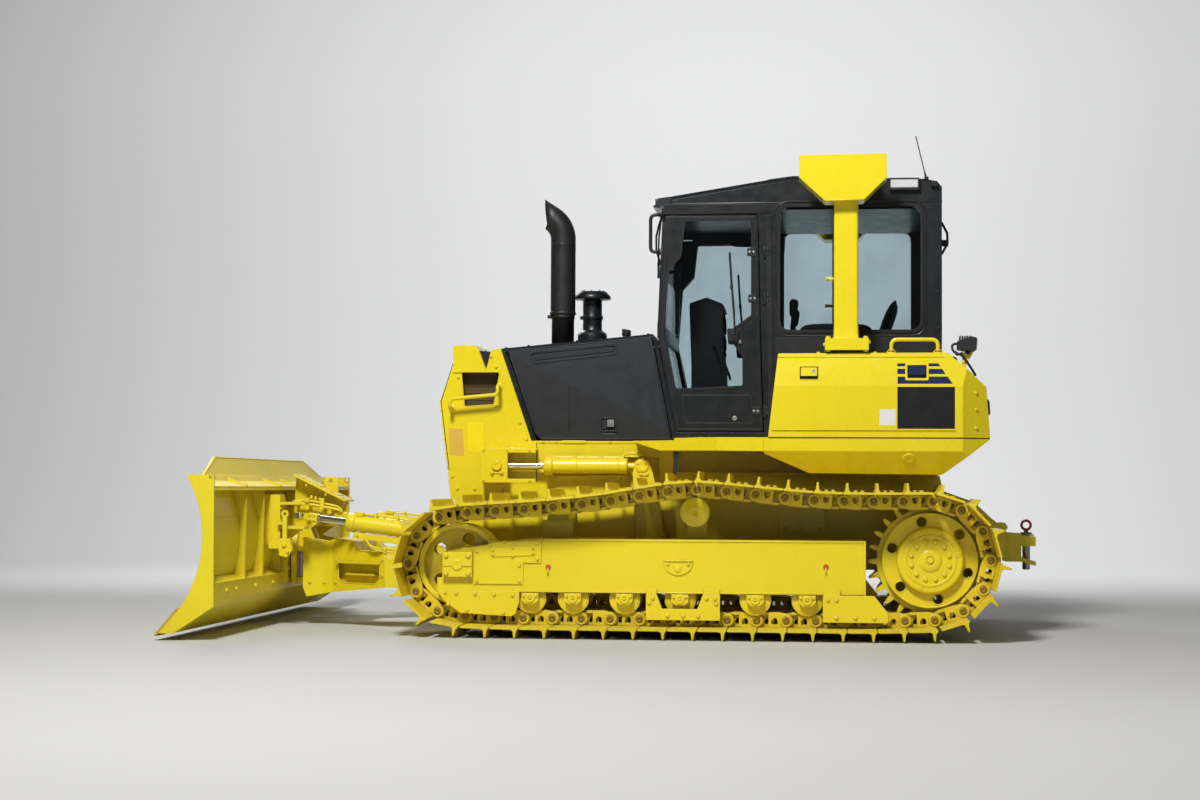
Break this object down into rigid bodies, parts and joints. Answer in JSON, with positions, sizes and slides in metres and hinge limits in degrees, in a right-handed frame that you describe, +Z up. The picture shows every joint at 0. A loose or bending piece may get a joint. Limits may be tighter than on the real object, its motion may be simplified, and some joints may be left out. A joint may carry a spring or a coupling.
{
  "type": "bulldozer",
  "caption": "Crawler dozer with an enclosed cab, roll bar, angling and tilting front blade on a push frame, long hooded engine and rear drawbar.",
  "frame": {"origin": "bottom centre of the machine's box, on the ground under the grousers", "axes": "+X towards the blade, +Y to the machine's left, +Z up"},
  "size_m": [4.702, 3.35, 2.7957],
  "materials": {
    "track_paint": "gloss yellow enamel, a little scuffed on the grousers",
    "frame_paint": "gloss yellow enamel",
    "body_paint": "gloss yellow enamel",
    "dark_paint": "semi-gloss blue-black enamel",
    "black_paint": "satin black heat-resistant paint",
    "rubber_pad": "matte black rubber",
    "engine_iron": "dull painted casting",
    "window_glass": "clear, faintly grey tinted",
    "seat_fabric": "dark woven cloth",
    "console_plastic": "grained dark plastic",
    "lamp_lens": "pale housing with clear lens",
    "pin_steel": "turned steel, with a red painted loop",
    "linkage_paint": "gloss yellow enamel",
    "chrome_rod": "polished hard chrome",
    "blade_paint": "gloss yellow enamel",
    "edge_steel": "bolted steel edge, painted and scuffed"
  },
  "bodies": {
    "chassis": {"left_track": "track_paint", "right_track": "track_paint", "left_sprocket": "frame_paint", "right_sprocket": "frame_paint", "left_idler": "frame_paint", "right_idler": "frame_paint", "left_rollers": "frame_paint", "right_rollers": "frame_paint", "left_track_frame": "frame_paint", "right_track_frame": "frame_paint", "pivot_shafts": "frame_paint", "equalizer_bar": "frame_paint", "main_frame": "frame_paint", "belly_guard": "frame_paint", "hitch": "frame_paint", "radiator_guard": "body_paint", "radiator_grille": "body_paint", "floor_deck": "body_paint", "left_side_box": "body_paint", "right_side_box": "body_paint", "fuel_tank": "body_paint", "rops_frame": "body_paint", "handrails": "body_paint", "hood_top": "dark_paint", "cab_shell": "dark_paint", "cab_roof": "dark_paint", "exhaust_pipe": "black_paint", "pre_cleaner": "black_paint", "antenna": "black_paint", "rops_mounts": "rubber_pad", "engine_block": "engine_iron", "radiator_core": "engine_iron", "cab_glass": "window_glass", "operator_seat": "seat_fabric", "control_console": "console_plastic", "work_lamps": "lamp_lens"},
    "left_lift_barrel": {"left_lift_barrel": "linkage_paint"},
    "right_lift_barrel": {"right_lift_barrel": "linkage_paint"},
    "left_lift_rod": {"left_lift_rod": "chrome_rod"},
    "right_lift_rod": {"right_lift_rod": "chrome_rod"},
    "push_frame": {"c_frame": "linkage_paint"},
    "yoke": {"blade_yoke": "linkage_paint"},
    "blade": {"blade": "blade_paint", "cutting_edge": "edge_steel"},
    "left_angle_barrel": {"left_angle_barrel": "linkage_paint"},
    "right_angle_barrel": {"right_angle_barrel": "linkage_paint"},
    "left_angle_rod": {"left_angle_rod": "chrome_rod"},
    "right_angle_rod": {"right_angle_rod": "chrome_rod"},
    "tilt_barrel": {"tilt_barrel": "linkage_paint"},
    "tilt_rod": {"tilt_rod": "chrome_rod"},
    "left_door": {"left_door": "dark_paint", "left_door_glass": "window_glass"},
    "right_door": {"right_door": "dark_paint", "right_door_glass": "window_glass"},
    "left_engine_cover": {"left_engine_cover": "dark_paint"},
    "right_engine_cover": {"right_engine_cover": "dark_paint"},
    "hitch_pin": {"hitch_pin": "pin_steel"}
  },
  "joints": [
    {"name": "blade_lift", "type": "hinge", "parent": "chassis", "child": "push_frame", "pos_m": [-0.225, 0, 0.4], "axis": [0, -1, 0], "range_deg": [-9, 20]},
    {"name": "left_lift_trunnion", "type": "hinge", "parent": "push_frame", "child": "left_lift_barrel", "pos_m": [-0.115, 0.488, 0.933], "axis": [0, -1, 0], "range_deg": [-21.5, 10]},
    {"name": "left_lift_stroke", "type": "slide", "parent": "left_lift_barrel", "child": "left_lift_rod", "axis": [1, 0, 0], "range_m": [-0.086, 0.188]},
    {"name": "right_lift_trunnion", "type": "hinge", "parent": "push_frame", "child": "right_lift_barrel", "pos_m": [-0.115, -0.488, 0.933], "axis": [0, -1, 0], "range_deg": [-21.5, 10]},
    {"name": "right_lift_stroke", "type": "slide", "parent": "right_lift_barrel", "child": "right_lift_rod", "axis": [1, 0, 0], "range_m": [-0.086, 0.188]},
    {"name": "blade_angle", "type": "hinge", "parent": "push_frame", "child": "yoke", "pos_m": [1.855, 0, 0.35], "axis": [0, 0, 1], "range_deg": [-25, 25]},
    {"name": "blade_tilt", "type": "hinge", "parent": "yoke", "child": "blade", "pos_m": [2.015, 0, 0.35], "axis": [1, 0, 0], "range_deg": [-6, 6]},
    {"name": "left_angle_trunnion", "type": "hinge", "parent": "push_frame", "child": "left_angle_barrel", "pos_m": [1.125, 0.482, 0.548], "axis": [-0.02, -0.8058, -0.5919], "range_deg": [-3.8, 3.8]},
    {"name": "left_angle_stroke", "type": "slide", "parent": "left_angle_barrel", "child": "left_angle_rod", "axis": [0.9867, -0.1115, 0.1179], "range_m": [-0.168, 0.168]},
    {"name": "right_angle_trunnion", "type": "hinge", "parent": "push_frame", "child": "right_angle_barrel", "pos_m": [1.125, -0.482, 0.548], "axis": [-0.02, 0.8058, -0.5919], "range_deg": [-3.8, 3.8]},
    {"name": "right_angle_stroke", "type": "slide", "parent": "right_angle_barrel", "child": "right_angle_rod", "axis": [0.9867, 0.1115, 0.1179], "range_m": [-0.168, 0.168]},
    {"name": "tilt_trunnion", "type": "hinge", "parent": "yoke", "child": "tilt_barrel", "pos_m": [1.905, -0.11, 0.768], "axis": [1, 0, 0], "range_deg": [-7.8, 7.8]},
    {"name": "tilt_stroke", "type": "slide", "parent": "tilt_barrel", "child": "tilt_rod", "axis": [0, -1, 0], "range_m": [-0.045, 0.045]},
    {"name": "left_door_hinge", "type": "hinge", "parent": "chassis", "child": "left_door", "pos_m": [-0.807, 0.652, 1.7], "axis": [0, 0, 1], "range_deg": [0, 90]},
    {"name": "right_door_hinge", "type": "hinge", "parent": "chassis", "child": "right_door", "pos_m": [-0.807, -0.652, 1.7], "axis": [0, 0, -1], "range_deg": [0, 90]},
    {"name": "left_engine_cover_hinge", "type": "hinge", "parent": "chassis", "child": "left_engine_cover", "pos_m": [-0.157, 0.401, 1.66962], "axis": [0.9955, 0, -0.095], "range_deg": [0, 75]},
    {"name": "right_engine_cover_hinge", "type": "hinge", "parent": "chassis", "child": "right_engine_cover", "pos_m": [-0.157, -0.401, 1.66962], "axis": [-0.9955, 0, 0.095], "range_deg": [0, 75]},
    {"name": "hitch_pin_lift", "type": "slide", "parent": "chassis", "child": "hitch_pin", "axis": [0, 0, 1], "range_m": [0, 0.24]}
  ],
  "couplings": [
    {"joint": "left_lift_trunnion", "follows": "blade_lift", "ratio": -1.062},
    {"joint": "left_lift_stroke", "follows": "blade_lift", "m_per_rad": 0.53342},
    {"joint": "right_lift_trunnion", "follows": "blade_lift", "ratio": -1.062},
    {"joint": "right_lift_stroke", "follows": "blade_lift", "m_per_rad": 0.53342},
    {"joint": "left_angle_trunnion", "follows": "blade_tilt", "ratio": 0.62},
    {"joint": "left_angle_stroke", "follows": "blade_angle", "m_per_rad": -0.38388},
    {"joint": "right_angle_trunnion", "follows": "blade_tilt", "ratio": 0.62},
    {"joint": "right_angle_stroke", "follows": "blade_angle", "m_per_rad": 0.38388},
    {"joint": "tilt_trunnion", "follows": "blade_tilt", "ratio": 1.28},
    {"joint": "tilt_stroke", "follows": "blade_tilt", "m_per_rad": 0.41826}
  ]
}
